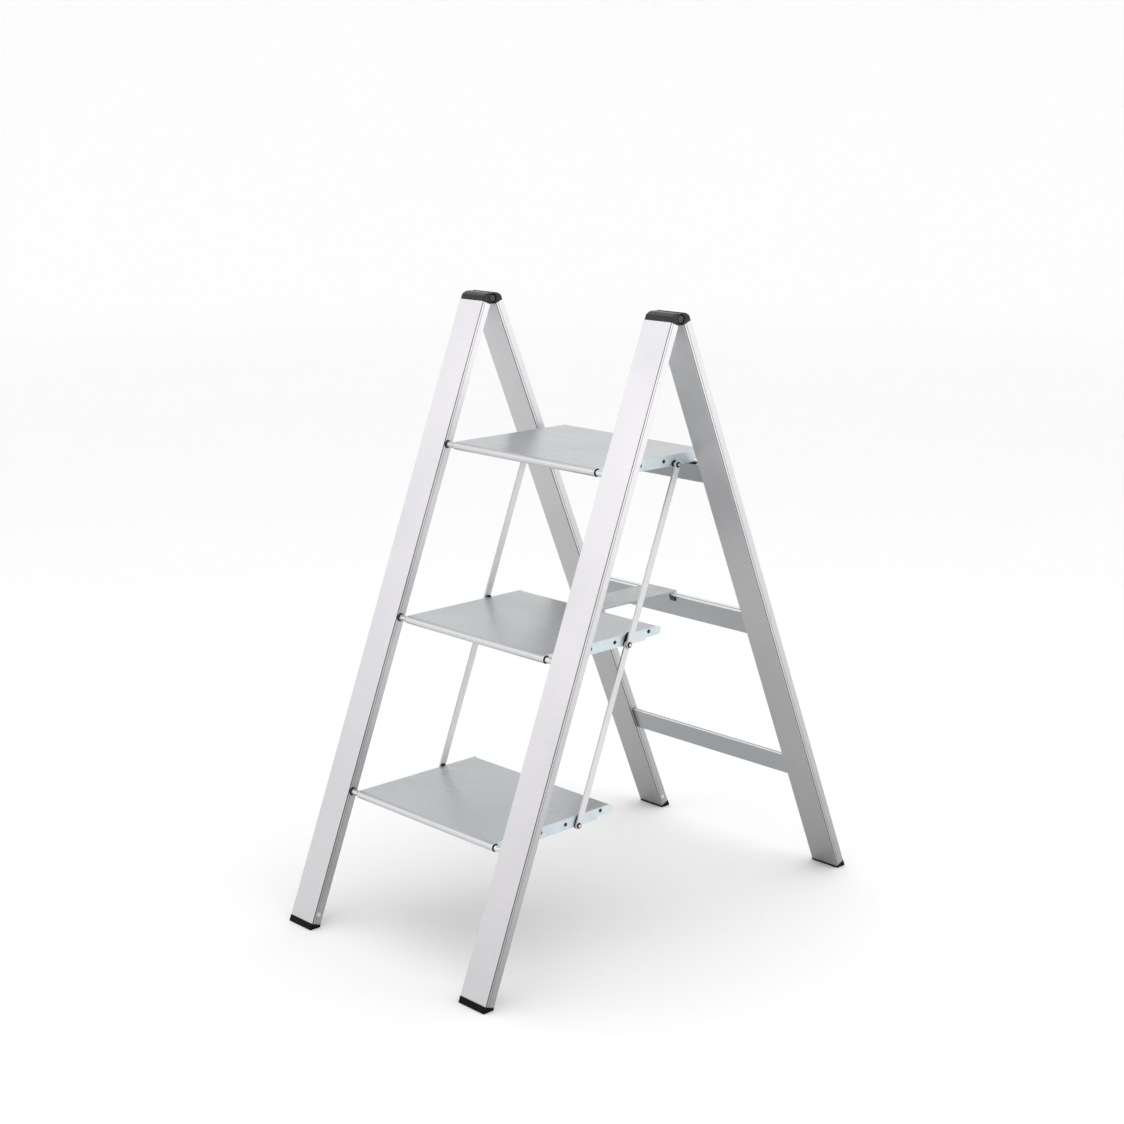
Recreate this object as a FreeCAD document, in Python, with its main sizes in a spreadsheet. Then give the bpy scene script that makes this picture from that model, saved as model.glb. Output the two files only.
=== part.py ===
import FreeCAD, Part
import math
import os
import re

import Sketcher

# Folding step ladder with three flat treads: a front frame that carries the
# treads, a rear frame hinged to it at the top, and a spreader plate between them.
# Millimetres and degrees. X runs across the ladder, the climber stands on the -Y
# side, +Z is up, and the origin is under the middle of the opened ladder.

# ---------------------------------------------------------------- dimensions

DIMENSIONS = {
    # overall stance
    "hinge_height": 955.0,
    "hinge_setback": -15.6,
    "front_lean": 21.3,
    "rear_lean": 22.9,
    "overall_width": 460.0,
    "hinge_gap": 1.5,
    # rails
    "rail_face": 54.0,
    "rail_depth": 17.4,
    "rail_wall": 1.4,
    "rail_top_drop": 10.5,
    "front_rail_end": 1021.9,
    "rear_rail_end": 1034.1,
    "rail_corner": 0.5,
    "groove_depth": 0.7,
    "groove_width": 1.0,
    "edge_groove_start": 0.6,
    "edge_groove_width": 1.4,
    "fine_groove_start": 5.5,
    "fine_groove_width": 0.6,
    # feet and hinge caps
    "foot_proud": 0.7,
    "plug_length": 24.0,
    "plug_gap": 0.15,
    "foot_round": 1.6,
    "foot_rivet_rise": 16.0,
    "foot_rivet_radius": 2.4,
    "foot_rivet_head": 4.2,
    "foot_rivet_crown": 1.1,
    "foot_rivet_grip": 4.5,
    "barrel_radius": 8.8,
    "barrel_gap": 0.35,
    "knuckle_width": 13.0,
    "knuckle_gap": 0.3,
    "cap_crown": 9.2,
    "cap_round": 4.0,
    "cap_end_round": 2.4,
    "cap_shoulder": 5.2,
    "cap_slope": 6.6,
    "cap_valley": 5.0,
    "hinge_pin_radius": 3.5,
    "hinge_head_radius": 5.4,
    "hinge_recess_radius": 7.3,
    "hinge_head_depth": 3.0,
    "running_gap": 0.05,
    "seat_gap": 0.05,
    # treads
    "tread_first": 213.5,
    "tread_spacing": 263.0,
    "tread_depth": 243.0,
    "deck_half": 155.0,
    "deck_skin": 1.9,
    "deck_lip": 6.0,
    "deck_round": 1.5,
    "rib_first": 30.0,
    "rib_second": 58.0,
    "rib_third": 116.0,
    "rib_fourth": 172.0,
    "rib_half": 0.8,
    "rib_foot": -1.9,
    "port_web_half": 1.5,
    "nose_radius": 6.3,
    "side_plate_gauge": 2.0,
    "side_plate_drop": 17.0,
    "side_plate_tail_drop": 13.0,
    "side_plate_round": 5.5,
    "side_plate_overhang": 5.0,
    "notch_back": 208.5,
    "side_plate_chin": 13.0,
    "plate_rivet_head": 2.9,
    "plate_rivet_crown": 1.3,
    "plate_rivet_grip": 14.0,
    "screw_port_radius": 3.2,
    "screw_port_bore": 1.6,
    "port_front": 91.0,
    "port_middle": 142.0,
    "port_rear": 215.4,
    "port_drop": 8.0,
    "port_rear_drop": 4.6,
    "rod_radius": 3.5,
    "rod_head_height": 1.8,
    "rod_washer_radius": 6.0,
    "rod_washer_gauge": 1.5,
    "rod_sleeve_gauge": 1.2,
    "bush_radius": 5.1,
    "bush_flange": 1.0,
    "bush_length": 18.0,
    # link bars
    "link_back": 165.5,
    "link_drop": 8.5,
    "link_pin_radius": 2.5,
    "link_width": 11.0,
    "link_gauge": 3.0,
    "link_lug_radius": 5.6,
    "link_pin_head": 4.2,
    "link_pin_crown": 1.6,
    "link_spacer_radius": 4.4,
    "slip_pad_gauge": 1.5,
    "slip_pad_reach": 13.0,
    # rear crossbars
    "crossbar_recess": 6.0,
    "crossbar_wall": 1.5,
    "top_bar_drop": 258.8,
    "top_bar_height": 32.0,
    "top_bar_depth": 11.0,
    "middle_bar_drop": 531.5,
    "middle_bar_height": 41.2,
    "middle_bar_depth": 11.0,
    "lower_bar_drop": 818.0,
    "lower_bar_height": 39.6,
    "lower_bar_depth": 7.0,
    "crossbar_round": 0.9,
    "crossbar_insert_length": 22.0,
    "crossbar_screw_radius": 1.4,
    "crossbar_screw_head": 2.9,
    "crossbar_screw_length": 20.0,
    "rest_pad_setback": 0.9,
    "rest_pad_depth": 5.0,
    "rest_pad_width": 14.0,
    # spreader
    "spreader_half": 32.0,
    "spreader_gauge": 1.6,
    "spreader_lip": 3.0,
    "spreader_top": 480.0,
    "spreader_pin_radius": 2.5,
    "spreader_pin_head": 4.0,
    "spreader_eye_radius": 4.5,
    "spreader_web_gap": 1.7,
    "spreader_hook": 3.2,
    "bracket_gauge": 2.0,
    "bracket_eye_radius": 3.6,
    "bracket_foot_width": 12.0,
    "bracket_foot_drop": 9.0,
    "channel_gauge": 1.6,
    "spreader_front_back": 203.7,
    "spreader_front_drop": 7.0,
    "spreader_rear_in": 2.5,
    "spreader_rear_drop": 523.144,
}

doc = FreeCAD.newDocument("StepLadder")
sheet = doc.addObject("Spreadsheet::Sheet", "Dims")


def fill_sheet():
    """One row per driving dimension: its name, its value and its alias."""
    for row, (alias, amount) in enumerate(DIMENSIONS.items(), 1):
        sheet.set(f"A{row}", alias)
        sheet.set(f"B{row}", str(amount))
        sheet.setAlias(f"B{row}", alias)
    doc.recompute()


fill_sheet()

WORDS = re.compile(r"\b(" + "|".join(DIMENSIONS) + r")\b")


def linked(expression):
    """The same expression with each alias pointing at the sheet."""
    return WORDS.sub(r"Dims.\1", str(expression))


def value(expression):
    """The number that an expression of aliases comes to."""
    return float(sheet.evalExpression(linked(expression)))


# ---------------------------------------------------------------- modelling helpers

PARTS = []
X_AXIS = FreeCAD.Vector(1, 0, 0)
SIDES = (1, -1)


def vec(x, y, z):
    return FreeCAD.Vector(x, y, z)


def label(thing, name, keep):
    thing.Label = name if keep else name + "_pattern"
    if keep:
        PARTS.append(thing)
    return thing


def new_body(name, keep=True):
    body = doc.addObject("PartDesign::Body", name)
    return label(body, name, keep)


def sketch_on(body, plane, offset="0"):
    """A sketch on one of the body's origin planes, moved along that plane's normal."""
    sketch = body.newObject("Sketcher::SketchObject", body.Name + "_sketch")
    support = [f for f in body.Origin.OriginFeatures if f.Role == plane]
    sketch.AttachmentSupport = [(support[0], "")]
    sketch.MapMode = "FlatFace"
    sketch.setExpression("AttachmentOffset.Base.z", linked(offset))
    return sketch


def pin_point(sketch, geometry, vertex, x, y):
    """Hold a sketch point at the place that two expressions give."""
    for kind, expression in (("DistanceX", x), ("DistanceY", y)):
        amount = value(expression)
        rule = Sketcher.Constraint(kind, -1, 1, geometry, vertex, amount)
        index = sketch.addConstraint(rule)
        sketch.setExpression(f"Constraints[{index}]", linked(expression))


def add_outline(sketch, points):
    """A closed outline of straight lines through expression points."""
    spots = [vec(value(x), value(y), 0) for x, y in points]
    count = len(spots)
    first = sketch.GeometryCount
    for index, spot in enumerate(spots):
        line = Part.LineSegment(spot, spots[(index + 1) % count])
        sketch.addGeometry(line, False)
    for index in range(count):
        after = first + (index + 1) % count
        sketch.addConstraint(Sketcher.Constraint("Coincident", first + index, 2, after, 1))
    for index, (x, y) in enumerate(points):
        pin_point(sketch, first + index, 1, x, y)


def add_circle(sketch, x, y, radius):
    ring = Part.Circle(vec(value(x), value(y), 0), vec(0, 0, 1), value(radius))
    index = sketch.addGeometry(ring, False)
    rule = sketch.addConstraint(Sketcher.Constraint("Radius", index, value(radius)))
    sketch.setExpression(f"Constraints[{rule}]", linked(radius))
    pin_point(sketch, index, 3, x, y)


def add_rectangle(sketch, x0, y0, x1, y1):
    add_outline(sketch, [(x0, y0), (x1, y0), (x1, y1), (x0, y1)])


def pad(body, sketch, length, side="Symmetric"):
    feature = body.newObject("PartDesign::Pad", body.Name + "_pad")
    feature.Profile = sketch
    feature.SideType = side
    feature.setExpression("Length", linked(length))
    doc.recompute()
    return feature


def pocket(body, sketch, length):
    """Cut the sketch out to both sides of its plane, and make sure that it cut."""
    before = body.Shape.Volume
    feature = body.newObject("PartDesign::Pocket", body.Name + "_pocket")
    feature.Profile = sketch
    feature.SideType = "Symmetric"
    feature.setExpression("Length", linked(length))
    doc.recompute()
    if not body.Shape.Volume < before - 0.01:
        raise RuntimeError("a pocket cut nothing in " + body.Name)
    return feature


def revolve(body, sketch):
    feature = body.newObject("PartDesign::Revolution", body.Name + "_turn")
    feature.Profile = sketch
    feature.ReferenceAxis = (sketch, ["H_Axis"])
    feature.Angle = 360.0
    doc.recompute()
    return feature


def round_edges(body, test, radius):
    """Round every edge whose middle point passes the test."""
    base = body.Tip
    names = []
    for index, edge in enumerate(base.Shape.Edges, 1):
        middle = edge.valueAt((edge.FirstParameter + edge.LastParameter) / 2)
        if test(edge, middle):
            names.append(f"Edge{index}")
    if not names:
        raise RuntimeError("no edge to round on " + body.Name)
    feature = body.newObject("PartDesign::Fillet", body.Name + "_round")
    feature.Base = (base, names)
    feature.setExpression("Radius", linked(radius))
    doc.recompute()
    if "Invalid" in feature.State:
        raise RuntimeError("the edges could not be rounded on " + body.Name)
    return feature


def runs_along(edge, axis):
    """True for a straight edge parallel to the axis."""
    ends = edge.Vertexes
    if edge.Curve.TypeId != "Part::GeomLine" or len(ends) != 2:
        return False
    span = ends[1].Point - ends[0].Point
    return abs(span.dot(axis)) > 0.999 * span.Length


def turned(name, profile, keep=True):
    """A turned piece on the X axis: the profile lists (position, radius)."""
    body = new_body(name, keep)
    sketch = sketch_on(body, "XY_Plane")
    add_outline(sketch, profile)
    revolve(body, sketch)
    return body


def ring_profile(start, end, inner, outer):
    return [(start, inner), (end, inner), (end, outer), (start, outer)]


def mirrored(name, source):
    """The left-hand twin of a right-hand piece."""
    twin = doc.addObject("Part::Mirroring", name)
    twin.Source = source
    twin.Normal = X_AXIS
    doc.recompute()
    return label(twin, name, True)


def pair(name, build):
    """A right-hand piece from its builder, and its mirrored left-hand twin."""
    right = build(name + "_right")
    return right, mirrored(name + "_left", right)


def group(name, shapes):
    """Identical small pieces that share one node as separate solids."""
    cluster = doc.addObject("Part::Feature", name)
    cluster.Shape = Part.makeCompound(shapes)
    cluster.Placement = FreeCAD.Placement()
    return label(cluster, name, True)


def moved(source, placement):
    """A copy of a piece's shape, carried to another place."""
    copy = source.Shape.copy()
    copy.Placement = placement.multiply(copy.Placement)
    return copy


def flipped(shape):
    return shape.mirror(vec(0, 0, 0), X_AXIS)


# ---------------------------------------------------------------- frames of reference

HINGE = vec(0, value("hinge_setback"), value("hinge_height"))
FRONT = FreeCAD.Placement(HINGE, FreeCAD.Rotation(X_AXIS, -value("front_lean")))
REAR = FreeCAD.Placement(HINGE, FreeCAD.Rotation(X_AXIS, value("rear_lean")))
RAIL_CENTRE = "(overall_width - rail_face) / 2"
RAIL_INNER = "(overall_width / 2 - rail_face)"
ROD_IN = "(hinge_gap + rail_depth / 2)"
TREADS = ("bottom", "middle", "top")


def shifted(frame, x=0.0, y=0.0, z=0.0):
    """A place given in the axes of a leaning frame."""
    return frame.multiply(FreeCAD.Placement(vec(x, y, z), FreeCAD.Rotation()))


def rod_drop(index):
    """Expression: how far down the front rails a tread's rod lies from the hinge."""
    height = f"(tread_first + {index} * tread_spacing - nose_radius)"
    return f"((hinge_height - {height} + {ROD_IN} * sin(front_lean)) / cos(front_lean))"


def tread_frame(index):
    """The tread's own axes: origin on its rod, Y to the rear, level when open."""
    rod = FRONT.multVec(vec(0, -value(ROD_IN), -value(rod_drop(index))))
    return FreeCAD.Placement(rod, FreeCAD.Rotation())


# ---------------------------------------------------------------- rails

def rail_outline():
    """Half the section's points, mirrored, with two fine grooves down each side."""
    front = "-rail_depth / 2"
    side = [("rail_face / 2", front)]
    for groove in ("edge_groove", "fine_groove"):
        near = f"{front} + {groove}_start"
        far = f"{near} + {groove}_width"
        side.append(("rail_face / 2", near))
        side.append(("rail_face / 2 - groove_depth", near))
        side.append(("rail_face / 2 - groove_depth", far))
        side.append(("rail_face / 2", far))
    side.append(("rail_face / 2", "rail_depth / 2"))
    other = [(f"-({x})", y) for x, y in reversed(side)]
    return side + other


def make_rail(name, rail_end, front):
    """An extruded box rail; front rails put the grooves at their front edge."""
    frame = FRONT if front else REAR
    body = new_body(name)
    sketch = sketch_on(body, "XY_Plane")
    add_outline(sketch, rail_outline())
    inner = "rail_face / 2 - rail_wall"
    cavity = "rail_depth / 2 - rail_wall"
    add_rectangle(sketch, f"-({inner})", f"-({cavity})", inner, cavity)
    pad(body, sketch, f"{rail_end} - rail_top_drop", "One side")
    half_face = value("rail_face / 2") - 0.01
    half_depth = value("rail_depth / 2") - 0.01

    def outer_corner(edge, middle):
        upright = runs_along(edge, vec(0, 0, 1))
        return upright and abs(middle.x) > half_face and abs(middle.y) > half_depth

    round_edges(body, outer_corner, "rail_corner")
    way = -1 if front else 1
    centre = shifted(frame, value(RAIL_CENTRE), way * value(ROD_IN), -value(rail_end))
    body.Placement = centre
    return body


def drill_inner_wall(body, holes):
    """Round holes through the wall that faces the middle of the ladder."""
    sketch = sketch_on(body, "YZ_Plane", "-rail_face / 2")
    for y, z, radius in holes:
        add_circle(sketch, y, z, radius)
    pocket(body, sketch, "3 * rail_wall")


SPIGOT = "rod_radius - 1"


def make_front_rail(name):
    body = make_rail(name, "front_rail_end", True)
    holes = [("0", f"front_rail_end - {rod_drop(i)}", f"{SPIGOT} + running_gap")
             for i in range(len(TREADS))]
    holes.append(("0", "foot_rivet_rise", "foot_rivet_radius + running_gap"))
    drill_inner_wall(body, holes)
    return body


def bar_middle(bar):
    """Expressions: a crossbar's centre in the rear frame, inward and upward."""
    inward = f"(hinge_gap + crossbar_recess + {bar}_bar_depth / 2)"
    upward = f"(-({bar}_bar_drop + {bar}_bar_height / 2))"
    return inward, upward


BARS = ("top", "middle", "lower")


def make_rear_rail(name):
    body = make_rail(name, "rear_rail_end", False)
    holes = []
    for bar in BARS:
        inward, upward = bar_middle(bar)
        height = f"rear_rail_end + {upward}"
        holes.append((f"{inward} - {ROD_IN}", height, "crossbar_screw_radius + running_gap"))
    holes.append(("0", "foot_rivet_rise", "foot_rivet_radius + running_gap"))
    drill_inner_wall(body, holes)
    return body


# ---------------------------------------------------------------- feet

def make_foot(name, front):
    """A cap on the rail's end: level sole below, plug up inside the rail."""
    frame = FRONT if front else REAR
    rail_end = "front_rail_end" if front else "rear_rail_end"
    lean = "front_lean" if front else "rear_lean"
    way = -1 if front else 1
    body = new_body(name)
    sketch = sketch_on(body, "YZ_Plane")
    near = f"{way} * (hinge_gap - foot_proud)"
    far = f"{way} * (hinge_gap + rail_depth + foot_proud)"
    top = f"-{rail_end}"

    def sole(y):
        """Height of the floor below the hinge, measured along the leaning rail."""
        return f"(({way} * -1 * ({y}) * sin({lean}) - hinge_height) / cos({lean}))"

    add_outline(sketch, [(near, top), (far, top), (far, sole(far)), (near, sole(near))])
    pad(body, sketch, "rail_face + 2 * foot_proud")
    half = value("rail_face / 2") + value("foot_proud") - 0.01
    low = -value(rail_end) - 0.6
    edges_y = (value(near), value(far))

    def outside(edge, middle):
        on_side = abs(middle.x) > half
        on_end = min(abs(middle.y - y) for y in edges_y) < 0.01
        upright = runs_along(edge, vec(0, 0, 1)) and on_side and on_end
        sole_rim = middle.z < low and not runs_along(edge, vec(0, 0, 1))
        return upright or (sole_rim and (on_side or on_end))

    round_edges(body, outside, "foot_round")
    plug = sketch_on(body, "XY_Plane", f"-{rail_end}")
    inner = "(rail_face / 2 - rail_wall - plug_gap)"
    reach = "(rail_depth / 2 - rail_wall - plug_gap)"
    centre = f"{way} * {ROD_IN}"
    add_rectangle(plug, f"-{inner}", f"{centre} - {reach}", inner, f"{centre} + {reach}")
    pad(body, plug, "plug_length", "One side")
    rivet_seat = sketch_on(body, "YZ_Plane", f"-{inner}")
    add_circle(rivet_seat, centre, f"foot_rivet_rise - {rail_end}", "foot_rivet_radius + running_gap")
    pocket(body, rivet_seat, "12")
    body.Placement = shifted(frame, value(RAIL_CENTRE))
    return body


def foot_rivet():
    """A blind rivet through the rail's inner wall into the foot's plug."""
    grip = "rail_wall + foot_rivet_grip"
    profile = [("-foot_rivet_crown", "0"), ("-foot_rivet_crown", "foot_rivet_head - 1"),
               ("-seat_gap", "foot_rivet_head"), ("-seat_gap", "foot_rivet_radius"),
               (grip, "foot_rivet_radius"), (grip, "0")]
    return turned("foot_rivet", profile, False)


def foot_rivets(name, master, frame, rail_end, way):
    height = value("foot_rivet_rise") - value(rail_end)
    spot = shifted(frame, value(RAIL_INNER), way * value(ROD_IN), height)
    right = moved(master, spot)
    return group(name, [right, flipped(right)])


# ---------------------------------------------------------------- hinge caps and pins

def cap_plug(body, way):
    """The part of a hinge cap that fills the rail's open top."""
    plug = sketch_on(body, "XY_Plane", "-rail_top_drop - plug_length")
    inner = "(rail_face / 2 - rail_wall - plug_gap)"
    reach = "(rail_depth / 2 - rail_wall - plug_gap)"
    centre = f"{way} * {ROD_IN}"
    add_rectangle(plug, f"-{inner}", f"{centre} - {reach}", inner, f"{centre} + {reach}")
    pad(body, plug, "plug_length", "One side")


def cap_outline(way, lean):
    """Side outline of a cap in its leaning frame; the top is level when open."""
    outer = f"{way} * (hinge_gap + rail_depth)"
    inner = f"{way} * hinge_gap"
    shoulder = f"{way} * (hinge_gap + rail_depth - cap_shoulder)"
    valley = f"{way} * (cap_valley * cos({lean}) + cap_crown * sin({lean}))"

    def level(y):
        return f"((cap_crown + {way} * -1 * ({y}) * sin({lean})) / cos({lean}))"

    return [
        (inner, "-rail_top_drop"),
        (outer, "-rail_top_drop"),
        (outer, f"{level(shoulder)} - cap_slope"),
        (shoulder, f"{level(shoulder)} - 0.6"),
        (valley, level(valley)),
        (inner, "0"),
    ]


def cap_body(name, way, lean):
    body = new_body(name)
    sketch = sketch_on(body, "YZ_Plane")
    add_outline(sketch, cap_outline(way, lean))
    pad(body, sketch, "rail_face")
    outer = value("hinge_gap + rail_depth")

    def crown_edge(edge, middle):
        return runs_along(edge, X_AXIS) and middle.z > -10 and abs(middle.y) > 0.6 * outer

    round_edges(body, crown_edge, "cap_round")
    half_width = value("rail_face / 2")

    def end_edge(edge, middle):
        on_end = abs(abs(middle.x) - half_width) < 0.01
        return on_end and abs(middle.y) > 0.3 * outer and middle.z > -10

    round_edges(body, end_edge, "cap_end_round")
    return body


def knuckle(body, offset, length):
    sketch = sketch_on(body, "YZ_Plane", offset)
    add_circle(sketch, "0", "0", "barrel_radius")
    pad(body, sketch, length)


def clear_barrel(body, offset, length):
    sketch = sketch_on(body, "YZ_Plane", offset)
    add_circle(sketch, "0", "0", "barrel_radius + barrel_gap")
    pocket(body, sketch, length)


def pin_bore(body, offset, radius, length):
    sketch = sketch_on(body, "YZ_Plane", offset)
    add_circle(sketch, "0", "0", radius)
    pocket(body, sketch, length)


OUTER_KNUCKLE = "(rail_face - knuckle_width) / 2"
MIDDLE_KNUCKLE = "(rail_face - 2 * knuckle_width)"


def make_front_cap(name):
    """Front cap: two outer knuckles that hold the pin."""
    body = cap_body(name, -1, "front_lean")
    clear_barrel(body, "0", MIDDLE_KNUCKLE)
    for side in SIDES:
        knuckle(body, f"{side} * {OUTER_KNUCKLE}", "knuckle_width")
    cap_plug(body, -1)
    pin_bore(body, "0", "hinge_pin_radius + running_gap", "rail_face + 1")
    for side in SIDES:
        offset = f"{side} * rail_face / 2"
        pin_bore(body, offset, "hinge_recess_radius", "2 * hinge_head_depth + 0.1")
    body.Placement = shifted(FRONT, value(RAIL_CENTRE))
    return body


def make_rear_cap(name):
    """Rear cap: one middle knuckle that turns on the pin."""
    body = cap_body(name, 1, "rear_lean")
    for side in SIDES:
        clear_barrel(body, f"{side} * ({OUTER_KNUCKLE} + 1)", "knuckle_width + 2")
    knuckle(body, "0", f"{MIDDLE_KNUCKLE} - 2 * knuckle_gap")
    cap_plug(body, 1)
    pin_bore(body, "0", "hinge_pin_radius + running_gap", "rail_face + 1")
    body.Placement = shifted(REAR, value(RAIL_CENTRE))
    return body


def make_hinge_pin(name):
    """A shouldered pin with a flat round head at each end."""
    reach = "rail_face / 2 - 0.2"
    neck = "rail_face / 2 - hinge_head_depth"
    profile = [
        (f"-({reach})", "0"), (f"-({reach})", "hinge_head_radius - 0.6"),
        (f"-({reach}) + 0.6", "hinge_head_radius"), (f"-({neck})", "hinge_head_radius"),
        (f"-({neck})", "hinge_pin_radius"), (neck, "hinge_pin_radius"),
        (neck, "hinge_head_radius"), (f"{reach} - 0.6", "hinge_head_radius"),
        (reach, "hinge_head_radius - 0.6"), (reach, "0"),
    ]
    body = turned(name, profile)
    body.Placement = shifted(FRONT, value(RAIL_CENTRE))
    return body


# ---------------------------------------------------------------- tread rods

PLATE_FACE = "(deck_half + side_plate_gauge)"


def make_rod(name, index):
    """A steel rod whose reduced ends are headed over inside the rails."""
    shoulder = f"{RAIL_INNER} - 0.1"
    wall = f"{RAIL_INNER} + rail_wall + 0.1"
    head = f"{wall} + rod_head_height"
    half = [("0", "rod_radius"), (shoulder, "rod_radius"), (shoulder, SPIGOT),
            (wall, SPIGOT), (wall, "rod_radius + 0.8"), (head, "rod_radius")]
    profile = [(f"-({head})", "0")]
    profile += [(f"-({x})", r) for x, r in reversed(half[1:])]
    profile += half[1:] + [(head, "0")]
    body = turned(name, profile)
    body.Placement = tread_frame(index)
    return body


def rod_collars(name, start, end, outer):
    """The same collar on both ends of all three rods."""
    profile = ring_profile(start, end, "rod_radius + running_gap", outer)
    master = turned(name, profile, False)
    shapes = []
    for index in range(len(TREADS)):
        right = moved(master, tread_frame(index))
        shapes += [right, flipped(right)]
    return group(name, shapes)


# ---------------------------------------------------------------- treads

DECK_END = "(tread_depth - nose_radius)"
SIDE_PLATE_END = f"({DECK_END} + side_plate_overhang)"


def comb_outline():
    """Deck skin with its rear lip, the webs of the screw ports and four ribs."""
    under = "nose_radius - deck_skin"
    rib = ("rib_half", "rib_foot")
    web = ("port_web_half", "nose_radius - port_drop")
    teeth = [("rib_first", *rib), ("rib_second", *rib), ("port_front", *web),
             ("rib_third", *rib), ("port_middle", *web), ("rib_fourth", *rib)]
    points = [("0", "nose_radius"), ("0", under)]
    for middle, half, depth in teeth:
        points += [(f"{middle} - {half}", under), (f"{middle} - {half}", depth),
                   (f"{middle} + {half}", depth), (f"{middle} + {half}", under)]
    lip = "nose_radius - deck_lip"
    points += [(f"{DECK_END} - deck_skin", under), (f"{DECK_END} - deck_skin", lip),
               (DECK_END, lip), (DECK_END, "nose_radius")]
    return points


PORTS = (("port_front", "nose_radius - port_drop"), ("port_middle", "nose_radius - port_drop"),
         ("port_rear", "nose_radius - port_rear_drop"))


def make_deck(name, index):
    """One extrusion: round nose tube, flat skin, ribs and screw ports."""
    body = new_body(name)
    skin = sketch_on(body, "YZ_Plane")
    add_outline(skin, comb_outline())
    pad(body, skin, "2 * deck_half")
    tubes = sketch_on(body, "YZ_Plane")
    add_circle(tubes, "0", "0", "nose_radius")
    for y, z in PORTS:
        add_circle(tubes, y, z, "screw_port_radius")
    pad(body, tubes, "2 * deck_half")
    bores = sketch_on(body, "YZ_Plane")
    add_circle(bores, "0", "0", "bush_radius + 0.03")
    for y, z in PORTS:
        add_circle(bores, y, z, "screw_port_bore")
    pocket(body, bores, "2 * deck_half + 1")
    tail = value(DECK_END) - 0.01
    crown = value("nose_radius") - 0.01

    def rear_top(edge, middle):
        return runs_along(edge, X_AXIS) and middle.y > tail and middle.z > crown

    round_edges(body, rear_top, "deck_round")
    body.Placement = tread_frame(index)
    return body


def make_side_plate(name, index):
    """Zinc-plated plate with a stepped tail and a lug for the link bars."""
    body = new_body(name)
    middle = "deck_half + side_plate_gauge / 2"
    outline = sketch_on(body, "YZ_Plane", middle)
    top = "nose_radius"
    low = "nose_radius - side_plate_drop"
    tail = "nose_radius - side_plate_tail_drop"
    add_outline(outline, [("0", top), (SIDE_PLATE_END, top), (SIDE_PLATE_END, tail),
                          ("notch_back + 1", tail), ("notch_back", low),
                          ("side_plate_chin", low),
                          ("0", "-nose_radius + 0.2")])
    pad(body, outline, "side_plate_gauge")
    tail_end = value(SIDE_PLATE_END) - 0.01
    centre_x = value(middle)

    def tail_corner(edge, spot):
        return runs_along(edge, X_AXIS) and spot.y > tail_end and abs(spot.x - centre_x) < 0.1

    round_edges(body, tail_corner, "side_plate_round")
    lugs = sketch_on(body, "YZ_Plane", middle)
    add_circle(lugs, "0", "0", "nose_radius")
    add_circle(lugs, "link_back", "-link_drop", "link_lug_radius")
    pad(body, lugs, "side_plate_gauge")
    holes = sketch_on(body, "YZ_Plane", middle)
    add_circle(holes, "0", "0", "bush_radius + 0.03")
    add_circle(holes, "link_back", "-link_drop", "link_pin_radius + 0.03")
    for y, z in PORTS:
        add_circle(holes, y, z, "screw_port_bore + 0.05")
    pocket(body, holes, "2 * side_plate_gauge")
    body.Placement = tread_frame(index)
    return body


def both_ends(name, master, frame, spots):
    """The same small piece at several spots on both ends of a tread."""
    shapes = []
    for y, z in spots:
        right = moved(master, shifted(frame, 0, value(y), value(z)))
        shapes += [right, flipped(right)]
    return group(name, shapes)


def plate_rivet():
    """Domed rivet from the side plate into a screw port."""
    face = PLATE_FACE
    tip = "deck_half - plate_rivet_grip"
    shank = "screw_port_bore - seat_gap"
    seat = f"{face} + seat_gap"
    crown = f"{face} + plate_rivet_crown"
    profile = [(tip, "0"), (tip, shank), (seat, shank), (seat, "plate_rivet_head"),
               (f"{face} + plate_rivet_crown / 2", "plate_rivet_head - 0.2"),
               (crown, "plate_rivet_head / 2"), (crown, "0")]
    return turned("plate_rivet", profile, False)


def nose_bush():
    """Flanged plastic bush in the end of the nose tube."""
    inner = "rod_radius + running_gap"
    outer = "nose_radius - 0.3"
    profile = [(f"{PLATE_FACE} - bush_length", inner), (f"{PLATE_FACE} + bush_flange", inner),
               (f"{PLATE_FACE} + bush_flange", outer), (f"{PLATE_FACE} + 0.05", outer),
               (f"{PLATE_FACE} + 0.05", "bush_radius"),
               (f"{PLATE_FACE} - bush_length", "bush_radius")]
    return turned("nose_bush", profile, False)


PAD_FACE = f"({PLATE_FACE} + slip_pad_gauge + 0.05)"
LOWER_LINK_FACE = f"({PAD_FACE} + 0.15)"
UPPER_LINK_FACE = f"({LOWER_LINK_FACE} + link_gauge + 0.25)"


def link_pin(name, far_face):
    """Stepped rivet: formed head inside the plate, flat head outside the bars."""
    inside = "deck_half - seat_gap"
    tail = f"{inside} - link_pin_crown"
    head = f"{far_face} + link_gauge + 0.15"
    crown = f"{head} + link_pin_crown"
    profile = [(tail, "0"), (tail, "link_pin_radius + 0.5"), (inside, "link_pin_radius + 1.3"),
               (inside, "link_pin_radius"), (head, "link_pin_radius"), (head, "link_pin_head"),
               (f"{crown} - 0.5", "link_pin_head - 0.3"), (crown, "link_pin_radius + 0.1"),
               (crown, "0")]
    return turned(name, profile, False)


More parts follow.
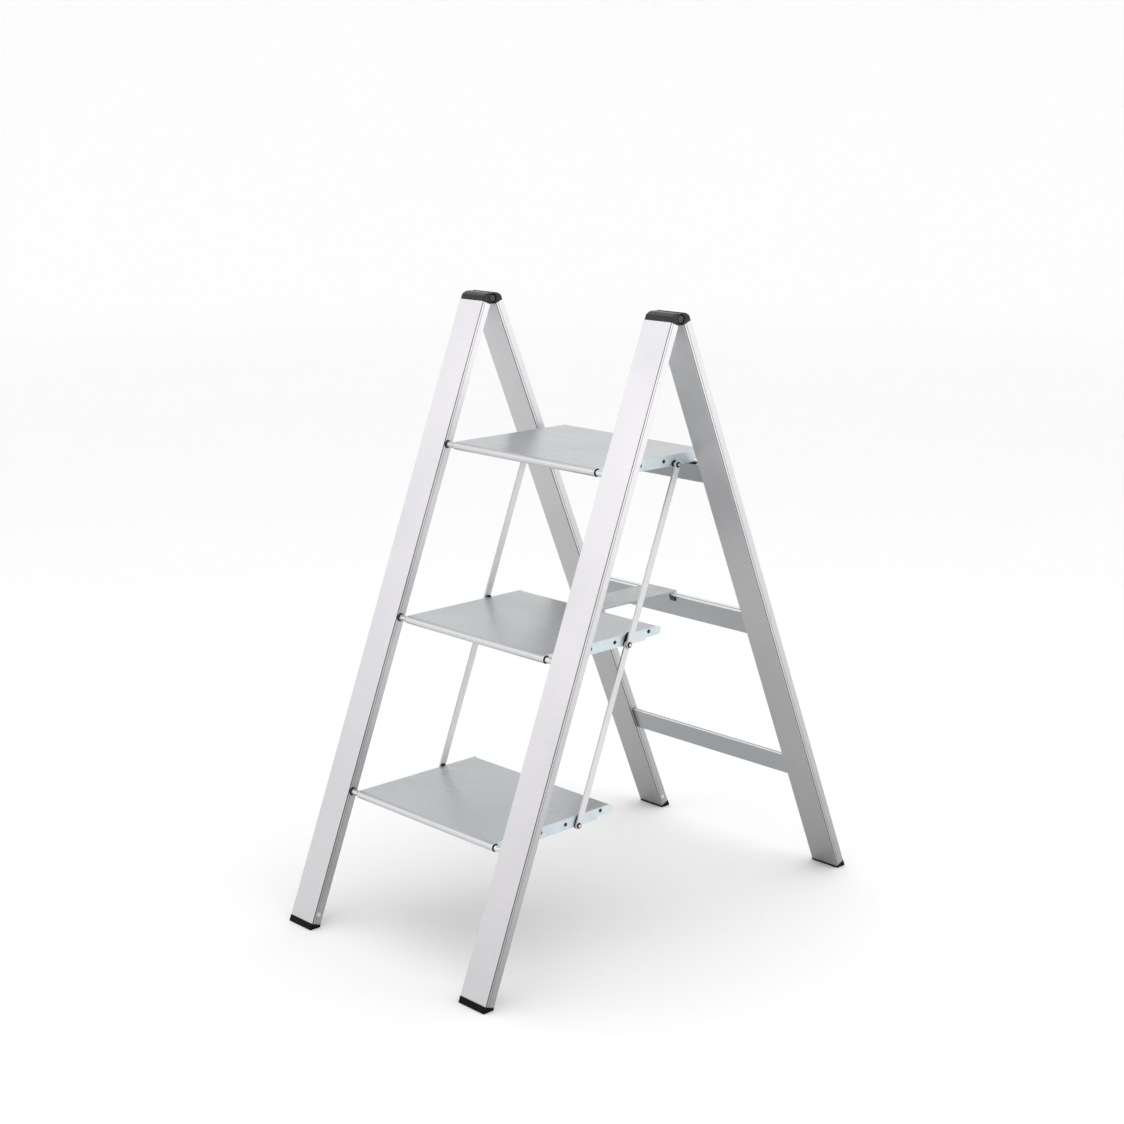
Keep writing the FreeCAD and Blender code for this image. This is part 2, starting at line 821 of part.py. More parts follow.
def make_slip_pads(name, index, reach):
    """A thin plastic pad behind the bars on each side plate, reach above the pin."""
    middle = f"({PLATE_FACE} + 0.05 + slip_pad_gauge / 2)"
    body = new_body(name, False)
    bar = sketch_on(body, "YZ_Plane", middle)
    half = "link_width / 2 + 0.2"
    add_circle(bar, "0", "0", half)
    pad(body, bar, "slip_pad_gauge")
    if reach:
        strip = sketch_on(body, "YZ_Plane", middle)
        add_rectangle(strip, f"-({half})", "0", half, reach)
        pad(body, strip, "slip_pad_gauge")
        tip = sketch_on(body, "YZ_Plane", middle)
        add_circle(tip, "0", reach, half)
        pad(body, tip, "slip_pad_gauge")
    hole = sketch_on(body, "YZ_Plane", middle)
    add_circle(hole, "0", "0", "link_pin_radius + 0.05")
    pocket(body, hole, "3 * slip_pad_gauge")
    frame = shifted(tread_frame(index), 0, value("link_back"), -value("link_drop"))
    lean = FreeCAD.Placement(vec(0, 0, 0), FreeCAD.Rotation(X_AXIS, -value("front_lean")))
    right = moved(body, frame.multiply(lean))
    return group(name, [right, flipped(right)])


def link_spacers(name, index, start, end):
    """A washer that fills the gap which a missing bar leaves on a link pin."""
    profile = ring_profile(start, end, "link_pin_radius + running_gap", "link_spacer_radius")
    master = turned(name, profile, False)
    return both_ends(name, master, tread_frame(index), [("link_back", "-link_drop")])


def make_tread(place, index, rivet, bush, pins):
    """Every piece that turns with one tread."""
    make_deck(f"{place}_deck", index)
    pair(f"{place}_side_plate", lambda name: make_side_plate(name, index))
    frame = tread_frame(index)
    both_ends(f"{place}_plate_rivets", rivet, frame, PORTS)
    both_ends(f"{place}_nose_bushes", bush, frame, [("0", "0")])
    both_ends(f"{place}_link_pins", pins[place], frame, [("link_back", "-link_drop")])
    make_slip_pads(f"{place}_slip_pads", index, None if place == "top" else "slip_pad_reach")


# ---------------------------------------------------------------- link bars

def make_link(name, upper):
    """A flat bar with round ends, parallel to the front rails."""
    face = UPPER_LINK_FACE if upper else LOWER_LINK_FACE
    top_index = 2 if upper else 1
    middle = f"({face} + link_gauge / 2)"
    length = "tread_spacing / cos(front_lean)"
    body = new_body(name)
    bar = sketch_on(body, "YZ_Plane", middle)
    add_rectangle(bar, "-link_width / 2", f"-{length}", "link_width / 2", "0")
    pad(body, bar, "link_gauge")
    ends = sketch_on(body, "YZ_Plane", middle)
    holes = sketch_on(body, "YZ_Plane", middle)
    for height in ("0", f"-{length}"):
        add_circle(ends, "0", height, "link_width / 2")
        add_circle(holes, "0", height, "link_pin_radius + running_gap")
    pad(body, ends, "link_gauge")
    pocket(body, holes, "2 * link_gauge")
    frame = shifted(tread_frame(top_index), 0, value("link_back"), -value("link_drop"))
    lean = FreeCAD.Placement(vec(0, 0, 0), FreeCAD.Rotation(X_AXIS, -value("front_lean")))
    body.Placement = frame.multiply(lean)
    return body


# ---------------------------------------------------------------- crossbars

def make_crossbar(name, bar):
    """A hollow flat extrusion between the rear rails, with a groove along each narrow face."""
    inward, upward = bar_middle(bar)
    body = new_body(name)
    section = sketch_on(body, "YZ_Plane")
    half_depth = f"{bar}_bar_depth / 2"
    half_height = f"{bar}_bar_height / 2"
    y_inner = f"({half_depth} - crossbar_wall)"
    z_inner = f"({half_height} - crossbar_wall)"
    groove_floor = f"({half_height} - groove_depth)"
    groove_side = "groove_width / 2"
    upper = [("-" + groove_side, half_height), ("-" + groove_side, groove_floor),
             (groove_side, groove_floor), (groove_side, half_height)]
    lower = [(y, f"-({z})") for y, z in reversed(upper)]
    add_outline(section, [(f"-{half_depth}", half_height)] + upper + [(half_depth, half_height)]
                + [(half_depth, f"-{half_height}")] + lower + [(f"-{half_depth}", f"-{half_height}")])
    add_rectangle(section, f"-{y_inner}", f"-{z_inner}", y_inner, z_inner)
    pad(body, section, f"2 * ({RAIL_INNER} - 0.05)")
    y_limit = value(half_depth) - 0.01
    z_limit = value(half_height) - 0.01

    def long_corner(edge, middle):
        outer = abs(middle.y) > y_limit and abs(middle.z) > z_limit
        return runs_along(edge, X_AXIS) and outer

    round_edges(body, long_corner, "crossbar_round")
    body.Placement = shifted(REAR, 0, value(inward), value(upward))
    return body


def crossbar_insert(bar):
    """A block in the end of a crossbar that its screw bites into."""
    name = f"{bar}_insert"
    body = new_body(name, False)
    section = sketch_on(body, "YZ_Plane", f"{RAIL_INNER} - crossbar_insert_length / 2 - 0.1")
    y = f"({bar}_bar_depth / 2 - crossbar_wall - 0.05)"
    z = f"({bar}_bar_height / 2 - crossbar_wall - 0.05)"
    add_rectangle(section, f"-{y}", f"-{z}", y, z)
    add_circle(section, "0", "0", "crossbar_screw_radius + 0.05")
    pad(body, section, "crossbar_insert_length")
    return body


def crossbar_screw():
    """A screw through the rail's inner wall, with its head inside the rail."""
    head = f"{RAIL_INNER} + rail_wall + 0.1"
    tip = f"{RAIL_INNER} - crossbar_screw_length"
    crown = f"{head} + rod_head_height"
    profile = [(tip, "0"), (tip, "crossbar_screw_radius"), (head, "crossbar_screw_radius"),
               (head, "crossbar_screw_head"), (crown, "crossbar_screw_head - 0.5"),
               (crown, "0")]
    return turned("crossbar_screw", profile, False)


def make_crossbar_fixings():
    inserts = []
    screws = []
    screw = crossbar_screw()
    for bar in BARS:
        inward, upward = bar_middle(bar)
        spot = shifted(REAR, 0, value(inward), value(upward))
        block = moved(crossbar_insert(bar), spot)
        bolt = moved(screw, spot)
        inserts += [block, flipped(block)]
        screws += [bolt, flipped(bolt)]
    group("crossbar_inserts", inserts)
    group("crossbar_screws", screws)


def make_rest_pads(name):
    """Rubber wedges on the top crossbar: level on top, where the top tread rests."""
    body = new_body(name, False)
    sketch = sketch_on(body, "YZ_Plane", f"{PLATE_FACE} - 1")
    front = "(hinge_gap + crossbar_recess + rest_pad_setback)"
    bar_top = "(-top_bar_drop)"
    tread_low = "(tread_first + 2 * tread_spacing - side_plate_drop - 0.1)"

    def rest(y):
        """Height, in the leaning frame, of the level face under the side plates."""
        return f"(({tread_low} - hinge_height - ({y}) * sin(rear_lean)) / cos(rear_lean))"

    back = f"({front} + rest_pad_depth)"
    add_outline(sketch, [(front, bar_top), (back, bar_top), (back, rest(back)),
                         (front, rest(front))])
    pad(body, sketch, "rest_pad_width")
    right = moved(body, REAR)
    return group(name, [right, flipped(right)])


# ---------------------------------------------------------------- spreader

REAR_PIN_IN = "spreader_rear_in"
REAR_PIN_UP = "(-spreader_rear_drop)"


def rear_pin_spot():
    return REAR.multVec(vec(0, value(REAR_PIN_IN), value(REAR_PIN_UP)))


def front_pin_spot():
    rod = tread_frame(1).Base
    return rod + vec(0, value("spreader_front_back"), -value("spreader_front_drop"))


def spreader_pin(name, spot):
    """A headed pin across the spreader."""
    reach = "(spreader_half + 1.2)"
    crown = f"({reach} + 1.4)"
    rim = "spreader_pin_head - 0.6"
    profile = [(f"-{crown}", "0"), (f"-{crown}", rim), (f"-{reach}", "spreader_pin_head"),
               (f"-{reach}", "spreader_pin_radius"), (reach, "spreader_pin_radius"),
               (reach, "spreader_pin_head"), (crown, rim), (crown, "0")]
    body = turned(name, profile)
    body.Placement = FreeCAD.Placement(spot, FreeCAD.Rotation())
    return body


def make_rear_brackets(name):
    """Two small angles on the middle crossbar whose lugs hold the rear pin."""
    body = new_body(name, False)
    lug_middle = "(spreader_half - 7)"
    lug = sketch_on(body, "YZ_Plane", lug_middle)
    face = "(hinge_gap + crossbar_recess)"
    bar_top = "(-middle_bar_drop)"
    near = f"{REAR_PIN_IN} - bracket_eye_radius"
    far = f"{REAR_PIN_IN} + bracket_eye_radius"
    lug_low = f"{bar_top} - bracket_foot_drop + 1"
    add_outline(lug, [(near, REAR_PIN_UP), (far, REAR_PIN_UP), (far, bar_top),
                      (face, f"{bar_top} - 2.5"), (face, lug_low),
                      (f"{face} - bracket_gauge", lug_low)])
    pad(body, lug, "bracket_gauge")
    eye = sketch_on(body, "YZ_Plane", lug_middle)
    add_circle(eye, REAR_PIN_IN, REAR_PIN_UP, "bracket_eye_radius")
    pad(body, eye, "bracket_gauge")
    foot = sketch_on(body, "YZ_Plane", f"{lug_middle} - 5")
    add_rectangle(foot, f"{face} - channel_gauge", f"{bar_top} - bracket_foot_drop", face,
                  f"{bar_top} - 1.5")
    pad(body, foot, "bracket_foot_width")
    hole = sketch_on(body, "YZ_Plane", lug_middle)
    add_circle(hole, REAR_PIN_IN, REAR_PIN_UP, "spreader_pin_radius + 0.03")
    pocket(body, hole, "6")
    right = moved(body, REAR)
    return group(name, [right, flipped(right)])


def make_front_bracket(name):
    """A channel under the middle deck whose two lugs hold the front pin."""
    body = new_body(name)
    under = "(spreader_front_drop + nose_radius - deck_skin - seat_gap)"
    base = sketch_on(body, "YZ_Plane")
    add_rectangle(base, "-14", f"{under} - channel_gauge", "7", under)
    pad(body, base, "2 * (spreader_half - 3)")
    for side in SIDES:
        middle = f"{side} * (spreader_half - 4)"
        lug = sketch_on(body, "YZ_Plane", middle)
        add_rectangle(lug, "-spreader_eye_radius", "0", "spreader_eye_radius",
                      f"{under} - 0.5")
        pad(body, lug, "bracket_gauge")
        eye = sketch_on(body, "YZ_Plane", middle)
        add_circle(eye, "0", "0", "spreader_eye_radius")
        pad(body, eye, "bracket_gauge")
    hole = sketch_on(body, "YZ_Plane")
    add_circle(hole, "0", "0", "spreader_pin_radius + 0.03")
    pocket(body, hole, "2 * spreader_half")
    body.Placement = FreeCAD.Placement(front_pin_spot(), FreeCAD.Rotation())
    return body


def make_spreader(name):
    """Sheet-metal stay: it steps down under the deck and hooks over the rear pin."""
    reach = rear_pin_spot() - front_pin_spot()
    origin_height = front_pin_spot().z
    top = f"(spreader_top - {origin_height})"
    pin_y = f"{reach.y}"
    pin_z = f"{reach.z}"
    tread_end = f"({DECK_END} - spreader_front_back)"
    web = f"({tread_end} + spreader_web_gap)"
    tail = f"({pin_y} + spreader_pin_radius + spreader_hook)"
    low = "(spreader_pin_radius + 2.3)"
    body = new_body(name)
    sheet_line = sketch_on(body, "YZ_Plane")
    add_outline(sheet_line, [
        ("6.6", f"{low} - spreader_gauge"), (f"{web} + spreader_gauge", f"{low} - spreader_gauge"),
        (f"{web} + spreader_gauge", f"{top} - spreader_gauge"), (tail, f"{top} - spreader_gauge"),
        (tail, top), (web, top), (web, low), ("6.6", low),
    ])
    pad(body, sheet_line, "2 * spreader_half")
    for side in SIDES:
        middle = f"{side} * (spreader_half - spreader_gauge / 2)"
        flange = sketch_on(body, "YZ_Plane", middle)
        add_outline(flange, [
            ("-spreader_eye_radius", "0"), ("spreader_eye_radius", "-1"),
            (f"{web} + spreader_gauge", f"{low} - 3"),
            (f"{web} + 8", f"{top} - spreader_lip"),
            (f"{pin_y} + spreader_pin_radius + 0.1", f"{top} - spreader_lip"),
            (f"{pin_y} + spreader_pin_radius + 0.1", f"{pin_z} - 1"),
            (tail, f"{pin_z} - 1"), (tail, top), (web, top), (web, low),
            ("-spreader_eye_radius", low),
        ])
        pad(body, flange, "spreader_gauge")
        eye = sketch_on(body, "YZ_Plane", middle)
        add_circle(eye, "0", "0", "spreader_eye_radius")
        pad(body, eye, "spreader_gauge")
    hole = sketch_on(body, "YZ_Plane")
    add_circle(hole, "0", "0", "spreader_pin_radius + running_gap")
    pocket(body, hole, "3 * spreader_half")
    body.Placement = FreeCAD.Placement(front_pin_spot(), FreeCAD.Rotation())
    return body


# ---------------------------------------------------------------- assembly

def build_front_frame():
    pair("front_rail", make_front_rail)
    pair("front_foot", lambda name: make_foot(name, True))
    pair("front_hinge_cap", make_front_cap)
    pair("hinge_pin", make_hinge_pin)
    for index, place in enumerate(TREADS):
        make_rod(f"{place}_tread_rod", index)
    washer_start = f"{RAIL_INNER} - rod_washer_gauge - seat_gap"
    rod_collars("rod_washers", washer_start, f"{RAIL_INNER} - seat_gap", "rod_washer_radius")
    rod_collars("rod_spacers", f"{PLATE_FACE} + bush_flange + 0.15", f"{washer_start} - seat_gap",
                "rod_radius + rod_sleeve_gauge")


def build_rear_frame():
    pair("rear_rail", make_rear_rail)
    pair("rear_foot", lambda name: make_foot(name, False))
    pair("rear_hinge_cap", make_rear_cap)
    for bar in BARS:
        make_crossbar(f"{bar}_crossbar", bar)
    make_crossbar_fixings()
    make_rest_pads("tread_rest_pads")
    make_rear_brackets("spreader_rear_brackets")
    spreader_pin("spreader_rear_pin", rear_pin_spot())


def build_rivets():
    rivet = foot_rivet()
    foot_rivets("front_foot_rivets", rivet, FRONT, "front_rail_end", -1)
    foot_rivets("rear_foot_rivets", rivet, REAR, "rear_rail_end", 1)


def build_treads():
    rivet = plate_rivet()
    bush = nose_bush()
    long_pin = link_pin("long_link_pin", UPPER_LINK_FACE)
    short_pin = link_pin("short_link_pin", LOWER_LINK_FACE)
    pins = {"top": long_pin, "middle": long_pin, "bottom": short_pin}
    for index, place in enumerate(TREADS):
        make_tread(place, index, rivet, bush, pins)
    link_spacers("top_link_spacers", 2, LOWER_LINK_FACE, f"{UPPER_LINK_FACE} - 0.1")


def build_spreader():
    make_front_bracket("spreader_front_bracket")
    spreader_pin("spreader_front_pin", front_pin_spot())
    make_spreader("spreader_plate")


def build_links():
    pair("upper_link", lambda name: make_link(name, True))
    pair("lower_link", lambda name: make_link(name, False))


def check_document():
    for thing in doc.Objects:
        if "Invalid" in thing.State or "Error" in thing.State:
            raise RuntimeError(f"{thing.Label} did not compute: {thing.State}")
    for thing in PARTS:
        if thing.Shape.isNull() or not thing.Shape.isValid():
            raise RuntimeError(f"{thing.Label} has no valid shape")


def write_parts():
    os.makedirs("parts", exist_ok=True)
    for thing in PARTS:
        thing.Shape.exportStep(f"parts/{thing.Label}.step")
    print(len(PARTS), "parts written")


build_front_frame()
build_rear_frame()
build_rivets()
build_treads()
build_spreader()
build_links()
doc.recompute()
check_document()
write_parts()
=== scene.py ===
"""Looks of the folding step ladder: materials, studio, lights and camera.

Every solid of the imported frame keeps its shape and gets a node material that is
built here. Lengths are in metres and angles in degrees. A pattern's scale is about
its features per metre. Tones are screen colours, in hexadecimal.
"""

import math

import bpy
from mathutils import Matrix, Vector


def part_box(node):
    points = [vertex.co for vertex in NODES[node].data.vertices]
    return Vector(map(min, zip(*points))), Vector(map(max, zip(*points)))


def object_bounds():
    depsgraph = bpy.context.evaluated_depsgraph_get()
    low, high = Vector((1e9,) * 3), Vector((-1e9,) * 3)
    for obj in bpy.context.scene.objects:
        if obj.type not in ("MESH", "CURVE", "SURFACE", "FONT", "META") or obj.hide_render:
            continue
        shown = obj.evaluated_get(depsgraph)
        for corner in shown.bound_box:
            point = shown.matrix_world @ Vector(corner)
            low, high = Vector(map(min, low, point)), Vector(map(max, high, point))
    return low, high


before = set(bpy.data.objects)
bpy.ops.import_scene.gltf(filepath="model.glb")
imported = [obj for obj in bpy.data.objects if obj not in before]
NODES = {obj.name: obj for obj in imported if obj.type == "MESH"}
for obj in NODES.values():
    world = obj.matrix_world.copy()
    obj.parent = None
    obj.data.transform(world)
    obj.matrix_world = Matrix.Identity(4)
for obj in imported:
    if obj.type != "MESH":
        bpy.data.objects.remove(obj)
CAD_LOW, CAD_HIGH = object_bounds()
CAD_MIDDLE = (CAD_LOW + CAD_HIGH) / 2

# ---------------------------------------------------------------- driving values

AXES = "XYZ"
WHITE = (1.0, 1.0, 1.0, 1.0)

# Turns that bring the leaning rails upright.
FRONT_TURN = (21.3, 0.0, 0.0)
REAR_TURN = (-22.9, 0.0, 0.0)
LEVEL = (0.0, 0.0, 0.0)

# Each span says where a value's effect starts and where it is complete.
WHOLE_SPAN = (0.0, 1.0)
PATTERN_SPAN = (0.3, 0.7)
EDGE_SPAN = (0.72, 0.995)  # of the flat normal along the rounded one
FACING_SPAN = (0.55, 0.85)  # of the normal along an axis
DOWN_SPAN = (-0.85, -0.05)  # of the normal along Z
OPEN_SPAN = (0.6, 0.95)  # of the share of open surroundings
EDGE_SAMPLES = 4
CREVICE_SAMPLES = 8

# A mix node's colour sockets, by place because their names occur more than once.
MIX_FACTOR, MIX_FIRST, MIX_SECOND = 0, 6, 7
MIX_RESULT = 2

# Extruded aluminium: die lines and broader bands run along it, with clouds all over.
ALUMINIUM_EDGE = 0.0006
ALUMINIUM_CREVICE = 0.0018
DIE_STRETCH = 0.0003
DIE_LINES = 2600.0
DIE_LINE_DETAIL = 3.0
DIE_LINE_CONTRAST = 0.65
DIE_LINE_HEIGHT = 0.000012
DIE_LINE_BUMP = 0.3
DIE_LINE_ROUGHNESS = 0.04
DIE_BANDS = 420.0
BAND_DULLING = 0.35
ALUMINIUM_CLOUDS = 6.0
CLOUD_DETAIL = 3.0
CLOUD_DULLING = 0.5
CLOUD_ROUGHNESS = 0.03
DULL_TINT = (0.88, 0.89, 0.9, 1.0)
ALUMINIUM_WEAR = 0.6
WORN_ALUMINIUM = "F4F4F5"
# Painted shade in the crevices of aluminium.
ALUMINIUM_CREVICE_SHADE = "302E2E"
# Painted shade: the aluminium darkens towards the floor over these heights.
FLOOR_SHADE_SPAN = (0.0, 0.85)  # heights, from the full foot tone to none

# The grooves of the rails take painted shade: depths below the narrow side where the
# painted shade comes in and where it fades out again, and how far from the broad faces it
# stops.
GROOVE_SHADE = "1C1A1A"
GROOVE_START_SPAN = (0.0001, 0.0003)
GROOVE_END_SPAN = (0.0011, 0.0013)
GROOVE_MARGINS = (0.0004, 0.0003)

# Zinc-plated sheet: crystalline patches, clouds and grit.
ZINC_EDGE = 0.0004
ZINC_CREVICE = 0.001
ZINC_PATCHES = 260.0
ZINC_PATCH_MIX = 0.5
ZINC_PATCH_TONE = 0.86
ZINC_PATCH_ROUGHNESS = 0.05
ZINC_CLOUDS = 35.0
ZINC_CLOUD_DETAIL = 4.0
ZINC_CLOUD_TONE = "F4F8F8"
ZINC_GRIT = 1500.0
ZINC_GRIT_HEIGHT = 0.00002
ZINC_GRIT_BUMP = 0.5
WORN_ZINC = "F2F4F4"
# Painted shade in the crevices of zinc.
ZINC_CREVICE_SHADE = "5A6062"

# Turned steel: rings round the X axis and smudges.
STEEL_EDGE = 0.0003
RINGS = 5200.0
RING_STRETCH = (1.0, 0.03, 0.03)
RING_HEIGHT = 0.00002
RING_BUMP = 0.6
RING_ROUGHNESS = 0.07
SMUDGES = 320.0
SMUDGE_DETAIL = 3.0
SMUDGE_TONE = 0.8
STEEL_WEAR = 0.35
WORN_STEEL = "D8D8D8"
# The bright boss named below is a painted highlight in the middle of a pin's dark head.
PIN_RIM_SPAN = (0.0022, 0.0026)  # radii, from the bright boss to the dark rim
PIN_RIM_TONE = "1C1B1A"

# Moulded plastic and rubber: spark texture, scuffed edges and dust.
MOULDED_EDGE = 0.0006
MOULDED_CREVICE = 0.002
# Painted shade in the crevices of plastic and rubber.
MOULDED_CREVICE_SHADE = "050505"
PEBBLE_DETAIL = 3.0
PEBBLE_CONTRAST = 0.6
PEBBLE_BUMP = 0.7
PEBBLE_ROUGHNESS = 0.07
BLOTCHES = 90.0
BLOTCH_DETAIL = 3.0
BLOTCH_ROUGHNESS = (-0.05, 0.08)
SCUFFS = (0.25, 0.9)
DUST_TONE = "8C8880"

# The studio floor: flat, then a bend, then a wall all round.
FLOOR_RADIUS = 7.0
BEND_RADIUS = 3.0
BEND_STEPS = 24
WALL_TOP = 5.0
FLOOR_SPOKES = 96
FLOOR_TONES = ("F1F1F1", "FDFDFD")
FLOOR_TONE_SPAN = (2.5, 8.0)  # distances from the middle, from the first tone to the second
FLOOR_ROUGHNESS = 0.9
MOTTLE = 1.5
MOTTLE_MIX = 0.5
MOTTLE_TONE = 0.99
MOTTLE_HEIGHT = 0.0001
MOTTLE_BUMP = 0.1

# Name, place, width and height, and watts of each softbox.
SOFTBOXES = (
    ("key_softbox", (-2.4, -3.4, 2.2), (2.2, 2.2), 8.0),
    ("side_softbox", (3.6, 1.2, 1.6), (2.4, 2.6), 20.0),
    ("top_softbox", (0.2, -0.2, 4.2), (4.0, 4.0), 40.0),
)
WORLD_STRENGTH = 1.0

# The photograph's camera. The sensor and lens are in millimetres.
VIEW_AZIMUTH = 46.18
VIEW_ELEVATION = 13.33
VIEW_DISTANCE = 3.2
AIM_OFFSET = Vector((-0.028, -0.006, 0.068))
LENS = 64.9
SENSOR = 36.0


def linear(hex_colour):
    """A screen colour such as E6E6EA as linear red, green, blue and alpha.

    The numbers are those of the sRGB curve.
    """
    channels = [int(hex_colour[i:i + 2], 16) / 255 for i in (0, 2, 4)]
    curve = [c / 12.92 if c <= 0.04045 else ((c + 0.055) / 1.055) ** 2.4 for c in channels]
    return (*curve, 1.0)


def shade(colour, factor):
    """A linear colour made darker or lighter by a factor."""
    return (*(min(1.0, channel * factor) for channel in colour[:3]), 1.0)


# ---------------------------------------------------------------- node helpers

class Graph:
    """A material's node tree, with short calls for the nodes used here."""

    def __init__(self, name):
        self.material = bpy.data.materials.new(name)
        self.material.use_nodes = True
        self.tree = self.material.node_tree
        self.bsdf = self.tree.nodes["Principled BSDF"]

    def node(self, kind, **settings):
        """A new node with its settings."""
        made = self.tree.nodes.new(kind)
        for key, amount in settings.items():
            setattr(made, key, amount)
        return made

    def feed(self, socket, source):
        """Link an output to a socket, or set the socket to a plain value."""
        if isinstance(source, bpy.types.NodeSocket):
            self.tree.links.new(source, socket)
        else:
            socket.default_value = source

    def mapping(self, output, turn, **settings):
        """A mapping node that turns the object's own coordinates or normals."""
        coordinates = self.node("ShaderNodeTexCoord")
        made = self.node("ShaderNodeMapping", **settings)
        self.feed(made.inputs["Vector"], coordinates.outputs[output])
        made.inputs["Rotation"].default_value = [math.radians(angle) for angle in turn]
        return made

    def place(self, turn=LEVEL, scale=(1.0, 1.0, 1.0)):
        """Object coordinates, turned and stretched."""
        made = self.mapping("Object", turn)
        made.inputs["Scale"].default_value = scale
        return made.outputs["Vector"]

    def parts(self, vector):
        """A vector's X, Y and Z."""
        made = self.node("ShaderNodeSeparateXYZ")
        self.feed(made.inputs[0], vector)
        return made.outputs

    def noise(self, vector, scale, detail=2.0, contrast=0.5):
        """A cloudy pattern. A higher contrast makes its fine detail stronger."""
        made = self.node("ShaderNodeTexNoise")
        self.feed(made.inputs["Vector"], vector)
        made.inputs["Scale"].default_value = scale
        made.inputs["Detail"].default_value = detail
        made.inputs["Roughness"].default_value = contrast
        return made.outputs["Fac"]

    def cells(self, vector, scale):
        """A crystalline pattern: three values that differ at random from cell to cell."""
        made = self.node("ShaderNodeTexVoronoi")
        self.feed(made.inputs["Vector"], vector)
        made.inputs["Scale"].default_value = scale
        channels = self.node("ShaderNodeSeparateColor")
        self.feed(channels.inputs[0], made.outputs["Color"])
        return channels.outputs

    def spread(self, source, low, high, span=PATTERN_SPAN):
        """Low up to the span's start, high from its end on, and an even slope between."""
        made = self.node("ShaderNodeMapRange")
        self.feed(made.inputs["Value"], source)
        made.inputs["From Min"].default_value = span[0]
        made.inputs["From Max"].default_value = span[1]
        made.inputs["To Min"].default_value = low
        made.inputs["To Max"].default_value = high
        return made.outputs["Result"]

    def mix(self, factor, first, second, blend="MIX"):
        """The first colour, blended with the second by a factor."""
        made = self.node("ShaderNodeMix", data_type="RGBA", blend_type=blend)
        self.feed(made.inputs[MIX_FACTOR], factor)
        self.feed(made.inputs[MIX_FIRST], first)
        self.feed(made.inputs[MIX_SECOND], second)
        return made.outputs[MIX_RESULT]

    def compute(self, operation, first, second=0.0):
        """Maths on one or two values."""
        made = self.node("ShaderNodeMath", operation=operation)
        self.feed(made.inputs[0], first)
        self.feed(made.inputs[1], second)
        return made.outputs[0]

    def compute_vector(self, operation, *vectors, result="Vector"):
        """Maths on one or two vectors."""
        made = self.node("ShaderNodeVectorMath", operation=operation)
        for socket, vector in zip(made.inputs, vectors):
            self.feed(socket, vector)
        return made.outputs[result]

    def vary(self, base, pattern, low, high, span=PATTERN_SPAN):
        """A base value that a pattern moves by low to high."""
        return self.compute("ADD", self.spread(pattern, low, high, span), base)

    def bump(self, height, distance, strength, normal=None):
        """Normals that show a pattern as small heights."""
        made = self.node("ShaderNodeBump")
        self.feed(made.inputs["Height"], height)
        made.inputs["Distance"].default_value = distance
        made.inputs["Strength"].default_value = strength
        if normal is not None:
            self.feed(made.inputs["Normal"], normal)
        return made.outputs["Normal"]

    def soft_edge(self, radius):
        """Normals that run round an edge over a small radius, and that edge's wear.

        The wear is one at an edge and zero on a flat, from how far the normal turns.
        """
        made = self.node("ShaderNodeBevel", samples=EDGE_SAMPLES)
        made.inputs["Radius"].default_value = radius
        rounded = made.outputs["Normal"]
        flat = self.node("ShaderNodeNewGeometry").outputs["Normal"]
        along = self.compute_vector("DOT_PRODUCT", flat, rounded, result="Value")
        return rounded, self.spread(along, 1.0, 0.0, EDGE_SPAN)

    def facing(self, turn, axis):
        """One where the turned surface looks along plus or minus an axis, else zero."""
        # This mask picks between lit and shaded copies of one tone: painted light and shade.
        looks = self.mapping("Normal", turn, vector_type="NORMAL").outputs["Vector"]
        size = self.compute("ABSOLUTE", self.parts(looks)[AXES.index(axis)])
        return self.spread(size, 0.0, 1.0, FACING_SPAN)

    def underside_shade_mask(self):
        """One where the surface looks down, zero where it is upright or looks up."""
        # This mask carries the painted shade of faces that look down.
        looks = self.node("ShaderNodeTexCoord").outputs["Normal"]
        return self.spread(self.parts(looks)[2], 1.0, 0.0, DOWN_SPAN)

    def groove_shade_mask(self, turn, section):
        """One inside the grooves of a rail pair's narrow sides, zero on its outer skin.

        section gives the pair's inner and outer planes in X, and in the upright frame
        the middle and half of its thickness.
        """
        # This mask carries the painted shade of a rail's grooves.
        inner, outer, middle, half = section
        parts = self.parts(self.place(turn))
        across = self.compute("ABSOLUTE", parts[0])
        depth = self.compute("MINIMUM", self.compute("SUBTRACT", across, inner),
                             self.compute("SUBTRACT", outer, across))
        starts = self.spread(depth, 0.0, 1.0, GROOVE_START_SPAN)
        thickness = self.compute("ABSOLUTE", self.compute("SUBTRACT", parts[1], middle))
        margins = [half - margin for margin in GROOVE_MARGINS]
        within = self.spread(thickness, 1.0, 0.0, margins)
        ends = self.spread(depth, 1.0, 0.0, GROOVE_END_SPAN)
        return self.compute("MULTIPLY", self.compute("MULTIPLY", starts, within), ends)

    def crevice_shade(self, reach):
        """One deep in a narrow groove or joint, zero on an open face."""
        # This mask darkens crevices and joints where shade falls: painted shade.
        made = self.node("ShaderNodeAmbientOcclusion", samples=CREVICE_SAMPLES)
        made.inputs["Distance"].default_value = reach
        return self.spread(made.outputs["AO"], 1.0, 0.0, OPEN_SPAN)

    def finish(self, colour, roughness, metallic, normal, **extra):
        """The material, once its surface has all its inputs."""
        self.feed(self.bsdf.inputs["Base Color"], colour)
        self.feed(self.bsdf.inputs["Roughness"], roughness)
        self.feed(self.bsdf.inputs["Metallic"], metallic)
        self.feed(self.bsdf.inputs["Normal"], normal)
        for key, amount in extra.items():
            self.feed(self.bsdf.inputs[key.replace("_", " ")], amount)
        return self.material


# ---------------------------------------------------------------- materials

